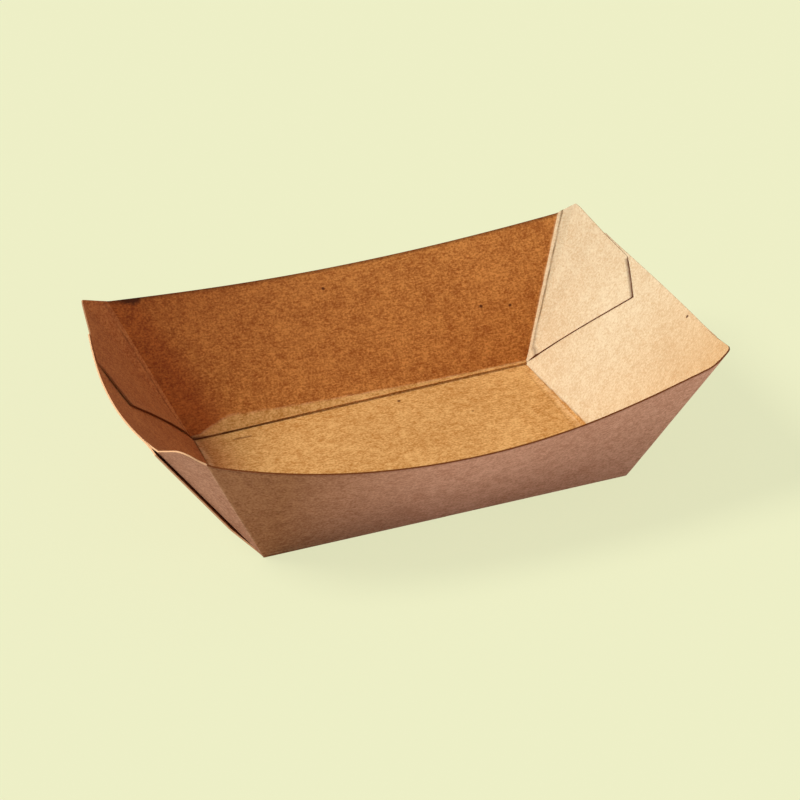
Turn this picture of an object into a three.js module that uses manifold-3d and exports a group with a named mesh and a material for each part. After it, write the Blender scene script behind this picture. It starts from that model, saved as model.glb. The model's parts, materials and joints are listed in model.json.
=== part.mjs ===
// Open food tray folded from one sheet of kraft board.
// The sheet is scored round a rectangular floor. The two long walls run on past the corner folds
// as flaps, and each flap is glued flat against the inner face of an end wall.
// Millimetres, +Z up, +X along the tray, origin at the middle of the underside of the floor.

import * as THREE from 'three'
import Module from 'manifold-3d'

// Sheet
const SHEET_THICKNESS = 0.45

// Floor between the four base folds
const FLOOR_LENGTH = 110
const FLOOR_WIDTH = 76

// Top of each corner fold, measured outwards and upwards from the corner of the floor
const FOLD_TOP_OUT_X = 18.6
const FOLD_TOP_OUT_Y = 17
const FOLD_TOP_HEIGHT = 41.4

// Raised tip of each flap, just past the corner fold
const TIP_OUT_X = 24.4
const TIP_OUT_Y = 14.4
const TIP_HEIGHT = 44.7

// Long walls: how far the rim bows outwards and dips at mid length
const LONG_RIM_BOW = 9.3
const LONG_RIM_DIP = 8.3

// End walls: reach and height of the rim at its two corners, and the bow and dip between them
const END_RIM_OUT = 27.1
const END_RIM_HEIGHT = 40.1
const END_RIM_BOW = 3.2
const END_RIM_DIP = 3

// Flap outline on the inner face of an end wall, as shares of the half width and of the slope
const FLAP_TOP_CORNER = { across: 0.61, up: 0.985 }
const FLAP_LOW_CORNER = { across: 0.27, up: 0.8 }

// Free side edges of an end wall: how far they stand off the flap, where across the wall this
// starts, and between which heights on its slope it grows
const EDGE_LIFT = 0.9
const LIFT_START = 0.7
const LIFT_FOOT = 0.12
const LIFT_FULL = 0.42

// Depth by which the glued flap sinks into the end wall, and how soon it leaves the floor corner
const GLUE_BITE = 0.08
const FLAP_SETTLE_SHARE = 0.12

// Raised bead that scoring leaves on the inner face beside a fold
const BEAD_HEIGHT = 0.22
const BEAD_START = 0.4
const BEAD_WIDTH = 1.7

// Rows and columns of facets
const LONG_WALL_COLUMNS = 18
const END_WALL_COLUMNS = 20
const LONG_WALL_ROWS = 5
const END_WALL_ROWS = 8
const FLAP_RAYS = 5
const FLAP_RINGS = 5

// Board seen in daylight: warm tan, dull
const BOARD_COLOUR = 0xb98856
const BOARD_ROUGHNESS = 0.9
const BOARD_METALNESS = 0

// Derived sizes
const HALF_LENGTH = FLOOR_LENGTH / 2
const HALF_WIDTH = FLOOR_WIDTH / 2
const FOLD_TOP = new THREE.Vector3(
  HALF_LENGTH + FOLD_TOP_OUT_X, HALF_WIDTH + FOLD_TOP_OUT_Y, FOLD_TOP_HEIGHT)
const FLAP_TIP = new THREE.Vector3(
  HALF_LENGTH + TIP_OUT_X, HALF_WIDTH + TIP_OUT_Y, TIP_HEIGHT)
const FLOOR_CORNER = new THREE.Vector3(HALF_LENGTH, HALF_WIDTH, 0)
const LONG_WALL_SLOPE = Math.hypot(FOLD_TOP_OUT_Y, FOLD_TOP_HEIGHT)
const END_WALL_SLOPE = Math.hypot(END_RIM_OUT, END_RIM_HEIGHT)

// Value a share of the way from one number to another
function mix(from, to, share) {
  return from + (to - from) * share
}

// How far a value has come from one number to another, kept within 0..1
function clampedShare(from, to, value) {
  return Math.min(1, Math.max(0, (value - from) / (to - from)))
}

// Parabola that is 1 in the middle of a wall and 0 at its two ends
function midShare(along) {
  return 1 - along * along
}

// Outer face of the long wall on the +Y side; along runs -1..1, up runs 0..1
function longWallPoint(along, up) {
  const foot = new THREE.Vector3(HALF_LENGTH * along, HALF_WIDTH, 0)
  const rim = new THREE.Vector3(
    FOLD_TOP.x * along,
    FOLD_TOP.y + LONG_RIM_BOW * midShare(along),
    FOLD_TOP.z - LONG_RIM_DIP * midShare(along))
  return foot.lerp(rim, up)
}

// Outer face that the end wall on the +X side would have if it lay on its flaps all over;
// across runs -1..1, up runs 0..1
function endWallPoint(across, up) {
  const foot = new THREE.Vector3(HALF_LENGTH, HALF_WIDTH * across, 0)
  const rim = new THREE.Vector3(
    HALF_LENGTH + END_RIM_OUT + END_RIM_BOW * midShare(across),
    HALF_WIDTH * across,
    END_RIM_HEIGHT - END_RIM_DIP * midShare(across))
  return foot.lerp(rim, up)
}

// Unit normal of the end wall, pointing into the tray
function endWallInward(across, up) {
  const step = 0.001
  const side = endWallPoint(across + step, up).sub(endWallPoint(across - step, up))
  const rise = endWallPoint(across, up + step).sub(endWallPoint(across, up - step))
  return side.cross(rise).normalize().negate()
}

// Outer face of the end wall itself, whose side edges stand off the flaps
function liftedEndWallPoint(across, up) {
  const nearEdge = clampedShare(LIFT_START, 1, Math.abs(across))
  const lift = EDGE_LIFT * nearEdge * nearEdge * clampedShare(LIFT_FOOT, LIFT_FULL, up)
  return endWallPoint(across, up).addScaledVector(endWallInward(across, up), -lift)
}

// Outer face of the glued flap: the end wall's surface sunk by nearly one sheet
function gluedPoint(across, up) {
  const full = SHEET_THICKNESS - GLUE_BITE
  const depth = full * clampedShare(0, FLAP_SETTLE_SHARE, up)
  return endWallPoint(across, up).addScaledVector(endWallInward(across, up), depth)
}

// Values from first to last in equal steps
function evenSteps(first, last, steps) {
  return Array.from({ length: steps + 1 }, (_, i) => mix(first, last, i / steps))
}

// Distances from a fold at which the bead beside it starts, is full, is full still, and ends
function beadDistances() {
  const quarter = BEAD_WIDTH / 4
  return [0, BEAD_START, BEAD_START + quarter, BEAD_START + 3 * quarter, BEAD_START + BEAD_WIDTH]
}

// Row positions on a wall of the given slope: close rows over the bead, even rows above it
function rowsWithBead(slope, rows) {
  const bead = beadDistances().map((distance) => distance / slope)
  return [...bead, ...evenSteps(bead.at(-1), 1, rows).slice(1)]
}

// Extra thickness of the sheet at a given distance from a fold
function beadRise(distance) {
  const inside = distance - BEAD_START
  if (inside <= 0 || inside >= BEAD_WIDTH) return 0
  const quarter = BEAD_WIDTH / 4
  return BEAD_HEIGHT * Math.min(1, Math.min(inside, BEAD_WIDTH - inside) / quarter)
}

// A patch is a list of points, the extra thickness at each, and triangles over them
function gridPatch(columns, rows, place, rise) {
  const points = []
  const rises = []
  const triangles = []
  for (const column of columns) {
    for (const row of rows) {
      points.push(place(column, row))
      rises.push(rise(column, row))
    }
  }
  const tall = rows.length
  for (let i = 0; i + 1 < columns.length; i += 1) {
    for (let j = 0; j + 1 < tall; j += 1) {
      const a = i * tall + j
      const b = a + tall
      triangles.push([a, b, b + 1], [a, b + 1, a + 1])
    }
  }
  return { points, rises, triangles }
}

// Rays from the floor corner over the free facet, from the corner fold to the tip, with close
// rays over the bead; each has the extra thickness it gets
function facetRays() {
  const width = FOLD_TOP.distanceTo(FLAP_TIP)
  return [...beadDistances(), width].map((distance) => {
    const end = FOLD_TOP.clone().lerp(FLAP_TIP, distance / width)
    return { place: (share) => FLOOR_CORNER.clone().lerp(end, share), rise: beadRise(distance) }
  })
}

// Rays over the glued part: side edge of the end wall, top corner, then down the slanted edge
function gluedRays() {
  const onWall = (across, up) => (share) => {
    return gluedPoint(mix(1, across, share), up * share)
  }
  const between = evenSteps(0, 1, FLAP_RAYS)
  const overTop = between.map((t) => onWall(
    mix(1, FLAP_TOP_CORNER.across, t), mix(1, FLAP_TOP_CORNER.up, t)))
  const downSlant = between.slice(1).map((t) => onWall(
    mix(FLAP_TOP_CORNER.across, FLAP_LOW_CORNER.across, t),
    mix(FLAP_TOP_CORNER.up, FLAP_LOW_CORNER.up, t)))
  return [...overTop, ...downSlant].map((place) => ({ place, rise: 0 }))
}

// Fan of facets for one flap, with a single point at the floor corner
function flapPatch() {
  const points = [FLOOR_CORNER.clone()]
  const rises = [0]
  const triangles = []
  const rays = [...facetRays(), ...gluedRays()]
  const shares = evenSteps(0, 1, FLAP_RINGS).slice(1)
  for (const ray of rays) {
    points.push(...shares.map((share) => ray.place(share)))
    rises.push(...shares.map((share) => ray.rise * share))
  }
  for (let i = 0; i + 1 < rays.length; i += 1) {
    const a = 1 + i * FLAP_RINGS
    const b = a + FLAP_RINGS
    triangles.push([0, b, a])
    for (let j = 0; j + 1 < FLAP_RINGS; j += 1) {
      triangles.push([a + j, b + j + 1, a + j + 1], [a + j, b + j, b + j + 1])
    }
  }
  return { points, rises, triangles }
}

function longWallPatch() {
  const rise = (along, up) => beadRise(up * LONG_WALL_SLOPE)
  return gridPatch(
    evenSteps(-1, 1, LONG_WALL_COLUMNS), rowsWithBead(LONG_WALL_SLOPE, LONG_WALL_ROWS),
    longWallPoint, rise)
}

function endWallPatch() {
  const rise = (across, up) => beadRise(up * END_WALL_SLOPE)
  return gridPatch(
    evenSteps(1, -1, END_WALL_COLUMNS), rowsWithBead(END_WALL_SLOPE, END_WALL_ROWS),
    liftedEndWallPoint, rise)
}

function floorPatch() {
  const place = (x, y) => new THREE.Vector3(x, y, 0)
  return gridPatch([-HALF_LENGTH, HALF_LENGTH], [-HALF_WIDTH, HALF_WIDTH], place, () => 0)
}

// Mean unit normal at each point of a patch, scaled so that every face moves by one unit
function offsetDirections(patch) {
  const faceNormal = ([a, b, c]) => {
    const [p, q, r] = [patch.points[a], patch.points[b], patch.points[c]]
    return q.clone().sub(p).cross(r.clone().sub(p)).normalize()
  }
  const touching = patch.points.map(() => [])
  for (const triangle of patch.triangles) {
    const normal = faceNormal(triangle)
    for (const index of triangle) touching[index].push(normal)
  }
  return touching.map((normals) => {
    const mean = normals.reduce((sum, normal) => sum.add(normal), new THREE.Vector3()).normalize()
    const spread = normals.reduce((least, normal) => Math.min(least, normal.dot(mean)), 1)
    return mean.divideScalar(spread)
  })
}

// Edges of a patch that belong to one triangle only, in the direction that triangle runs
function rimEdges(patch) {
  const seen = new Set()
  for (const [a, b, c] of patch.triangles) {
    for (const edge of [[a, b], [b, c], [c, a]]) seen.add(edge.join(' '))
  }
  return [...seen].map((key) => key.split(' ').map(Number))
    .filter(([from, to]) => !seen.has(`${to} ${from}`))
}

// Closed sheet on a patch: the patch is one face, the other lies one sheet along its normals
function thickSheet(wasm, patch) {
  const directions = offsetDirections(patch)
  const count = patch.points.length
  const inner = patch.points.map((point, i) => point.clone()
    .addScaledVector(directions[i], SHEET_THICKNESS + patch.rises[i]))
  const triangles = []
  for (const [a, b, c] of patch.triangles) {
    triangles.push([a, c, b], [a + count, b + count, c + count])
  }
  for (const [from, to] of rimEdges(patch)) {
    triangles.push([from, to, to + count], [from, to + count, from + count])
  }
  const vertProperties = new Float32Array([...patch.points, ...inner].flatMap((p) => p.toArray()))
  const triVerts = new Uint32Array(triangles.flat())
  const mesh = new wasm.Mesh({ numProp: 3, vertProperties, triVerts })
  mesh.merge()
  return new wasm.Manifold(mesh)
}

// The same patch on the other side of the tray, with its triangles turned to keep their facing
function mirrored(patch, flipX, flipY) {
  const points = patch.points.map((p) => new THREE.Vector3(
    flipX ? -p.x : p.x, flipY ? -p.y : p.y, p.z))
  const turned = flipX !== flipY
  const triangles = patch.triangles.map(([a, b, c]) => (turned ? [a, c, b] : [a, b, c]))
  return { points, rises: patch.rises, triangles }
}

// All folded areas of the sheet joined into one solid
function foldedSheet(wasm) {
  const patches = [floorPatch()]
  for (const flip of [false, true]) {
    patches.push(mirrored(longWallPatch(), false, flip), mirrored(endWallPatch(), flip, false))
    for (const otherEnd of [false, true]) patches.push(mirrored(flapPatch(), otherEnd, flip))
  }
  return patches.map((patch) => thickSheet(wasm, patch))
    .reduce((whole, sheet) => whole.add(sheet))
}

function geometryOf(solid) {
  const mesh = solid.getMesh()
  const geometry = new THREE.BufferGeometry()
  const stride = mesh.numProp
  const count = mesh.vertProperties.length / stride
  const positions = new Float32Array(count * 3)
  for (let i = 0; i < count; i += 1) {
    for (let axis = 0; axis < 3; axis += 1) {
      positions[i * 3 + axis] = mesh.vertProperties[i * stride + axis]
    }
  }
  geometry.setAttribute('position', new THREE.BufferAttribute(positions, 3))
  geometry.setIndex(new THREE.BufferAttribute(new Uint32Array(mesh.triVerts), 1))
  return geometry
}

const wasm = await Module()
wasm.setup()

const board = new THREE.MeshStandardMaterial({
  color: BOARD_COLOUR, roughness: BOARD_ROUGHNESS, metalness: BOARD_METALNESS })
const tray = new THREE.Mesh(geometryOf(foldedSheet(wasm)), board)
tray.name = 'folded_tray'

const group = new THREE.Group()
group.name = 'food_tray'
group.add(tray)

export default group
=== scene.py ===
"""Paper food tray folded from one sheet of kraft board, on a pale floor in soft light."""
import json
import logging
import math
from dataclasses import dataclass, field, fields
from enum import Enum
from typing import Any, Callable

import bpy
from mathutils import Matrix, Vector

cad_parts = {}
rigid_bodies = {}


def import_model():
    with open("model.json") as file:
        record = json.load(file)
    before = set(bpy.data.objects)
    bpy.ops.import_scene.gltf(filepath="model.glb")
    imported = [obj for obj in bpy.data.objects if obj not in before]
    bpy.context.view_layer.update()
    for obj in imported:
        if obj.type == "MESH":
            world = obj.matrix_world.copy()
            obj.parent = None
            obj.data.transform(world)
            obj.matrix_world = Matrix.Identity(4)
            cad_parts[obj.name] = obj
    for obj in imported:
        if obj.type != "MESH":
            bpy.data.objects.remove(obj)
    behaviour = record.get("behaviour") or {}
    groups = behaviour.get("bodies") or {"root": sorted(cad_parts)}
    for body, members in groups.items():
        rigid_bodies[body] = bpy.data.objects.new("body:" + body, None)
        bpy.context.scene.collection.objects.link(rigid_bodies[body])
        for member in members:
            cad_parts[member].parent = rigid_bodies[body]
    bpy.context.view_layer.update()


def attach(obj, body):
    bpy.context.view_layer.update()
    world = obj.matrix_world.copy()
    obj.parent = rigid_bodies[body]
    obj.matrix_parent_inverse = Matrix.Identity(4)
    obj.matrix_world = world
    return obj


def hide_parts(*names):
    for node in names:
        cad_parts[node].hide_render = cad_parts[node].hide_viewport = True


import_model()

LOG = logging.getLogger("food_tray")
MM = 0.001


# Node maths


def operator(operation: str, reflected: bool = False) -> Callable[["Value", Any], "Value"]:
    """Makes one of the operators of Value.

    Args:
        operation: The maths node's operation.
        reflected: Whether the socket is the right operand.

    Returns:
        The method.
    """
    def method(self: "Value", other: Any) -> "Value":
        """Adds the maths node."""
        first, second = (other, self) if reflected else (self, other)
        return self.binary(operation, first, second)
    return method


class Value:
    """A socket of a node tree that Python operators work on.

    The same class serves shader trees and geometry trees, because their maths nodes are shared.
    """

    def __init__(self, tree: "Nodes", socket: Any, vector: bool = False) -> None:
        """Wraps a socket.

        Args:
            tree: The tree that new maths nodes go into.
            socket: The output socket that carries the value.
            vector: Whether the socket carries a vector.
        """
        self.tree = tree
        self.socket = socket
        self.vector = vector

    def binary(self, operation: str, first: Any, second: Any) -> "Value":
        """Adds one maths node.

        Args:
            operation: The node's operation.
            first: The left operand.
            second: The right operand.

        Returns:
            The node's result.
        """
        first_wide = getattr(first, "vector", False)
        second_wide = getattr(second, "vector", False)
        if not first_wide and not second_wide:
            return self.tree.math(operation, first, second)
        if operation == "MULTIPLY" and not second_wide:
            return self.tree.vector_math("SCALE", first, scale=second)
        if operation == "MULTIPLY" and not first_wide:
            return self.tree.vector_math("SCALE", second, scale=first)
        return self.tree.vector_math(operation, first, second)

    __add__ = operator("ADD")
    __radd__ = operator("ADD", reflected=True)
    __sub__ = operator("SUBTRACT")
    __rsub__ = operator("SUBTRACT", reflected=True)
    __mul__ = operator("MULTIPLY")
    __rmul__ = operator("MULTIPLY", reflected=True)
    __truediv__ = operator("DIVIDE")
    __rtruediv__ = operator("DIVIDE", reflected=True)
    __pow__ = operator("POWER")

    def __neg__(self) -> "Value":
        """Negative."""
        return self * -1.0

    def __abs__(self) -> "Value":
        """Absolute value."""
        return self.tree.math("ABSOLUTE", self)


class Nodes:
    """A node tree under construction."""

    def __init__(self, tree: Any) -> None:
        """Wraps a tree."""
        self.tree = tree

    def node(self, kind: str, settings: dict[str, Any] | None = None, **inputs: Any) -> Any:
        """Adds any node.

        Args:
            kind: The node's type name.
            settings: Properties that are set before the inputs.
            **inputs: Values or links, by socket name with spaces as underscores, or by
                number as "at_0".

        Returns:
            The new node.
        """
        node = self.tree.nodes.new(kind)
        for name, value in (settings or {}).items():
            setattr(node, name, value)
        for name, value in inputs.items():
            self.feed(self._socket(node, name), value)
        return node

    @staticmethod
    def _socket(node: Any, name: str) -> Any:
        """Finds an input socket by name or number.

        Args:
            node: The node.
            name: The socket's name with underscores, or "at_" and its number.

        Returns:
            The socket.
        """
        if name.startswith("at_"):
            return node.inputs[int(name[3:])]
        wanted = name.replace("_", " ")
        return next(s for s in node.inputs if s.name == wanted and s.enabled)

    def feed(self, socket: Any, value: Any) -> None:
        """Links or sets a socket.

        Args:
            socket: The input socket.
            value: A Value, an output socket or a plain value.
        """
        if isinstance(value, Value):
            self.tree.links.new(value.socket, socket)
        elif isinstance(value, bpy.types.NodeSocket):
            self.tree.links.new(value, socket)
        else:
            socket.default_value = value

    def math(self, operation: str, *operands: Any, clamp: bool = False) -> Value:
        """Adds a Math node on values.

        Args:
            operation: The node's operation.
            *operands: One to three values.
            clamp: Whether the result is kept within 0 and 1.

        Returns:
            The result.
        """
        inputs = {f"at_{i}": operand for i, operand in enumerate(operands)}
        settings = {"operation": operation, "use_clamp": clamp}
        return Value(self, self.node("ShaderNodeMath", settings, **inputs).outputs[0])

    def vector_math(self, operation: str, *operands: Any, scale: Any = None) -> Value:
        """Adds a Vector Math node.

        Args:
            operation: The node's operation.
            *operands: One to three vectors.
            scale: The factor of a SCALE operation.

        Returns:
            The result.
        """
        node = self.node("ShaderNodeVectorMath", {"operation": operation})
        for socket, operand in zip(node.inputs, operands):
            self.feed(socket, operand)
        if scale is not None:
            self.feed(node.inputs["Scale"], scale)
        scalar = operation in ("LENGTH", "DISTANCE", "DOT_PRODUCT")
        return Value(self, node.outputs["Value" if scalar else "Vector"], not scalar)

    def clamp(self, value: Any) -> Value:
        """Keeps a value within 0 and 1."""
        return self.math("ADD", value, 0.0, clamp=True)

    def most(self, first: Any, second: Any) -> Value:
        """The larger of two values."""
        return self.math("MAXIMUM", first, second)

    def share(self, start: Any, end: Any, value: Any) -> Value:
        """How far a value has come from start to end, kept within 0 and 1."""
        return self.clamp((value - start) / (end - start))

    def near(self, middle: Any, reach: Any, value: Any) -> Value:
        """1 at the middle, falling to 0 at the reach on both sides."""
        return self.clamp(1.0 - abs(value - middle) / reach)

    def between(self, share: Any, first: Any, second: Any) -> Value:
        """A number part of the way from first to second."""
        return (1.0 - share) * first + share * second

    def vector(self, x: Any, y: Any, z: Any) -> Value:
        """A vector of three values."""
        return Value(self, self.node("ShaderNodeCombineXYZ", X=x, Y=y, Z=z).outputs[0], True)

    def parts(self, vector: Any) -> tuple[Value, Value, Value]:
        """The three components of a vector."""
        node = self.node("ShaderNodeSeparateXYZ", Vector=vector)
        return tuple(Value(self, node.outputs[i]) for i in range(3))

    def _mixed(self, kind: str, places: tuple[int, ...], *values: Any) -> Value:
        """Adds a Mix node.

        Args:
            kind: Its data type.
            places: Numbers of its three inputs and of its output.
            *values: The factor and the two ends.

        Returns:
            The mixed vector or colour.
        """
        node = self.node("ShaderNodeMix", {"data_type": kind})
        for place, value in zip(places, values):
            self.feed(node.inputs[place], value)
        return Value(self, node.outputs[places[-1]], True)

    def blend(self, share: Any, first: Any, second: Any) -> Value:
        """A vector part of the way from first to second."""
        return self._mixed("VECTOR", (0, 4, 5, 1), share, first, second)

    def tint(self, share: Any, first: Any, second: Any) -> Value:
        """A colour part of the way from first to second."""
        return self._mixed("RGBA", (0, 6, 7, 2), share, first, second)

    def noise(self, **inputs: Any) -> Value:
        """Noise with the given inputs."""
        return Value(self, self.node("ShaderNodeTexNoise", None, **inputs).outputs[0])

    def trait(self, name: str) -> Value:
        """One number that the folded mesh carries, for a material."""
        node = self.node("ShaderNodeAttribute", {"attribute_name": name})
        return Value(self, node.outputs["Fac"])

    def carried(self, name: str, kind: str = "FLOAT") -> Value:
        """What the mesh carries under a name, for a geometry tree."""
        node = self.node("GeometryNodeInputNamedAttribute", {"data_type": kind}, Name=name)
        return Value(self, node.outputs["Attribute"], kind == "FLOAT_VECTOR")

    def position(self) -> Value:
        """Where each point of the mesh is."""
        return Value(self, self.node("GeometryNodeInputPosition").outputs[0], True)

    def normal(self) -> Value:
        """Where each point of the mesh faces."""
        return Value(self, self.node("GeometryNodeInputNormal").outputs[0], True)


# Finishes


def linear(red: int, green: int, blue: int) -> tuple[float, float, float, float]:
    """Turns a colour of 0 to 255 into linear light.

    Args:
        red: Red as displayed.
        green: Green as displayed.
        blue: Blue as displayed.

    Returns:
        The colour in linear light, with full alpha.
    """
    def one(channel: int) -> float:
        """Decodes one channel."""
        value = channel / 255
        return value / 12.92 if value <= 0.04045 else ((value + 0.055) / 1.055) ** 2.4
    return (one(red), one(green), one(blue), 1.0)


def fresh_material(name: str) -> tuple[bpy.types.Material, Nodes]:
    """Starts a material with an empty tree.

    Args:
        name: The material's name.

    Returns:
        The material and its tree.
    """
    material = bpy.data.materials.new(name)
    material.use_nodes = True
    material.node_tree.nodes.clear()
    return material, Nodes(material.node_tree)


def dull_board(nodes: Nodes, colour: Value, roughness: Any, bump: tuple[float, float],
               height: Value) -> None:
    """Ends a material with the dull shader of board.

    Args:
        nodes: The material's tree.
        colour: The colour.
        roughness: The roughness.
        bump: Strength and depth of the relief.
        height: The relief's height.
    """
    relief = nodes.node("ShaderNodeBump", None, Strength=bump[0], Distance=bump[1],
                        Height=height)
    shader = nodes.node("ShaderNodeBsdfPrincipled", None, Base_Color=colour,
                        Roughness=roughness, Normal=relief.outputs[0],
                        Specular_IOR_Level=0.2)
    nodes.node("ShaderNodeOutputMaterial", None, Surface=shader.outputs[0])


def add_object(name: str, data: Any) -> bpy.types.Object:
    """Adds an object to the scene.

    Args:
        name: Its name.
        data: Its mesh, lamp or camera.

    Returns:
        The object.
    """
    thing = bpy.data.objects.new(name, data)
    bpy.context.scene.collection.objects.link(thing)
    return thing


@dataclass(frozen=True)
class Mark:
    """A dark speck or scuff in the board's inner face."""

    place: tuple[float, float, float]
    reach: tuple[float, float, float] = (0.68 * MM, 0.68 * MM, 0.68 * MM)
    strength: float = 0.92


@dataclass(frozen=True)
class Tint:
    """The darkest and lightest colour of one part of the board."""

    dark: tuple[float, ...]
    light: tuple[float, ...]

    def at(self, nodes: Nodes, tone: Value) -> Value:
        """The colour of one tone, 0 at the darkest."""
        return nodes.tint(tone, self.dark, self.light)


@dataclass(frozen=True)
class Speckle:
    """Noise of one scale in the board's tone."""

    scale: float
    detail: float
    weight: float


@dataclass(frozen=True)
class Fade:
    """A stretch along which one finish gives way to another."""

    start: float
    end: float

    def before(self, nodes: Nodes, place: Value) -> Value:
        """1 before the stretch, falling to 0 at its end."""
        return 1.0 - nodes.share(self.start, self.end, place)

    def past(self, nodes: Nodes, place: Value) -> Value:
        """0 before the stretch, rising to 1 at its end."""
        return nodes.share(self.start, self.end, place)


@dataclass(frozen=True)
class KraftFace:
    """Uncoated kraft board: mottled tan fibres and fine specks, with painted light and shade on
    its walls, folds and creases.
    """

    name: str = "kraft_board"
    # Colours of the parts of the board.
    inside: Tint = Tint(linear(178, 120, 54), linear(224, 174, 108))
    # Long walls' inner faces: darker than the floor, partly their own tone and partly painted
    # shade.
    wall: Tint = Tint(linear(158, 88, 32), linear(216, 146, 74))
    # Painted shadow that the left end wall casts on the far wall.
    corner: Tint = Tint(linear(132, 58, 18), linear(180, 94, 38))
    shaded: Tint = Tint(linear(162, 86, 42), linear(202, 126, 70))
    outside: Tint = Tint(linear(184, 135, 105), linear(222, 176, 147))
    # Painted shade on the outer faces towards the left end.
    handled: Tint = Tint(linear(132, 86, 50), linear(168, 122, 80))
    # Painted light on the right end's inner faces, which the left lamp lights most.
    bleached: Tint = Tint(linear(208, 180, 140), linear(229, 211, 176))
    # Painted shade on the right end's near side, darker and more orange than its lit part.
    sunned: Tint = Tint(linear(198, 158, 108), linear(222, 188, 140))
    # Colour of the stains, also laid as painted shade along creases, flap edges and rims.
    scored: tuple[float, ...] = linear(80, 36, 12)
    # Pale colour of rubbed folds, also laid as painted highlight on folds and ridge crests.
    worn: tuple[float, ...] = linear(232, 196, 150)
    roughness: float = 0.86
    roughness_spread: float = 0.16
    # Pattern of the board, from broad clouds down to single fibres.
    cloud: Speckle = Speckle(45.0, 3.0, 0.9)
    mottle: Speckle = Speckle(330.0, 2.0, 1.1)
    grain: Speckle = Speckle(1500.0, 2.0, 2.3)
    middle_tone: float = 0.47
    pale_fibres: tuple[tuple[float, float], ...] = ((0.4, 3.0), (1.9, 11.0), (2.6, 17.0))
    brown_fibres: tuple[tuple[float, float], ...] = ((2.7, 23.0), (1.1, 37.0))
    fibre_scale: tuple[float, float, float] = (420.0, 2300.0, 2300.0)
    fibre_weight: float = 0.34
    fibre_cut: Fade = Fade(0.56, 0.74)
    # How strongly the rubbing and painted highlight show, and where the mottle breaks them.
    wear: float = 0.5
    wear_cut: Fade = Fade(0.3, 0.6)
    bump: tuple[float, float] = (0.45, 0.09 * MM)
    # Height of the grain, the pale fibres, the brown fibres and the mottle in the relief.
    relief: tuple[float, ...] = (0.9, 0.4, -0.2, 0.5)
    # Places along and across the tray where painted light and painted shade begin and end.
    bleached_x: Fade = Fade(20 * MM, 56 * MM)
    sunned_y: Fade = Fade(8 * MM, -52 * MM)
    shaded_x: Fade = Fade(-56 * MM, 20 * MM)
    handled_x: Fade = Fade(-52 * MM, -8 * MM)
    facet_spared: float = 0.55
    # Painted shadow of the left end wall on the floor: where it fades, and how dark it is.
    floor_edge_x: Fade = Fade(-55 * MM, -43 * MM)
    floor_edge: float = 0.75
    # Painted shadow of the left end wall beside the far left corner fold: where that fold
    # stands, how it leans, and how far the strong and the faint painted shadow reach from it.
    fold_foot: float = 55 * MM
    fold_lean: float = 0.45
    fold_near: Fade = Fade(8 * MM, 20 * MM)
    fold_near_share: float = 0.85
    fold_far: Fade = Fade(8 * MM, 90 * MM)
    fold_far_share: float = 0.7
    fold_far_z: Fade = Fade(4 * MM, 38 * MM)
    # Marks: how ragged and how soft their outlines are, and the marks themselves.
    mark_fray: float = 1.2
    mark_edge: Fade = Fade(0.6, 1.0)
    marks: tuple[Mark, ...] = (
        Mark((-3.07 * MM, 60.05 * MM, 28.5 * MM)),
        Mark((44.4 * MM, 48.1 * MM, 18.0 * MM)),
        Mark((53.4 * MM, 46.2 * MM, 17.3 * MM)),
        Mark((-4.1 * MM, 37.4 * MM, 0.6 * MM)),
        Mark((10.1 * MM, 31.1 * MM, 0.45 * MM)),
        Mark((28.5 * MM, 15.8 * MM, 0.45 * MM), strength=0.6),
        Mark((83.2 * MM, -18.7 * MM, 36.8 * MM)),
        Mark((-40.9 * MM, 29.0 * MM, 0.45 * MM), (3.4 * MM, 0.6 * MM, 1.0 * MM), 0.5),
        Mark((-63.6 * MM, 56.6 * MM, 40.2 * MM), (6.2 * MM, 3.4 * MM, 2.7 * MM), 1.0))

    def _fibres(self, nodes: Nodes, place: Value,
                ways: tuple[tuple[float, float], ...]) -> Value:
        """Short streaks that lie along a few directions.

        Args:
            nodes: The material's tree.
            place: Object coordinates.
            ways: Direction in radians and pattern offset of each layer.

        Returns:
            How many layers have a fibre here.
        """
        layers: Any = 0.0
        for turn, seed in ways:
            mapped = nodes.node(
                "ShaderNodeMapping", None, Vector=place, Location=(seed, seed, seed),
                Rotation=(turn * 1.3, turn * 0.7, turn), Scale=self.fibre_scale)
            streaks = nodes.noise(Vector=mapped.outputs[0], Scale=1.0, Detail=1.0,
                                  Roughness=0.5, Distortion=0.8)
            layers = self.fibre_cut.past(nodes, streaks) + layers
        return layers

    def _corner_shade(self, nodes: Nodes, x: Value, z: Value) -> Value:
        """Painted shadow of the left end wall on the far wall near its left corner.

        Args:
            nodes: The material's tree.
            x: Place along the tray.
            z: Height.

        Returns:
            A mask, 1 in the corner.
        """
        away = x + self.fold_foot + z * self.fold_lean
        close = self.fold_near.before(nodes, away) * self.fold_near_share
        wide = self.fold_far.before(nodes, away) * self.fold_far_z.past(nodes, z)
        return nodes.clamp(nodes.most(close, wide * self.fold_far_share))

    def _marked(self, nodes: Nodes, place: Value, colour: Value, ragged: Value) -> Value:
        """Lays the dark marks over the colour of the board's inner face.

        Args:
            nodes: The material's tree.
            place: Object coordinates.
            colour: The board's colour.
            ragged: Noise that frays the marks' outlines.

        Returns:
            The colour with its marks.
        """
        inner = nodes.trait("inner")
        for mark in self.marks:
            scaled = nodes.vector_math("DIVIDE", place - mark.place, mark.reach)
            away = nodes.vector_math("LENGTH", scaled) + (ragged - 0.5) * self.mark_fray
            spot = self.mark_edge.before(nodes, away)
            colour = nodes.tint(spot * inner * mark.strength, colour, self.scored)
        return colour

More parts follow.
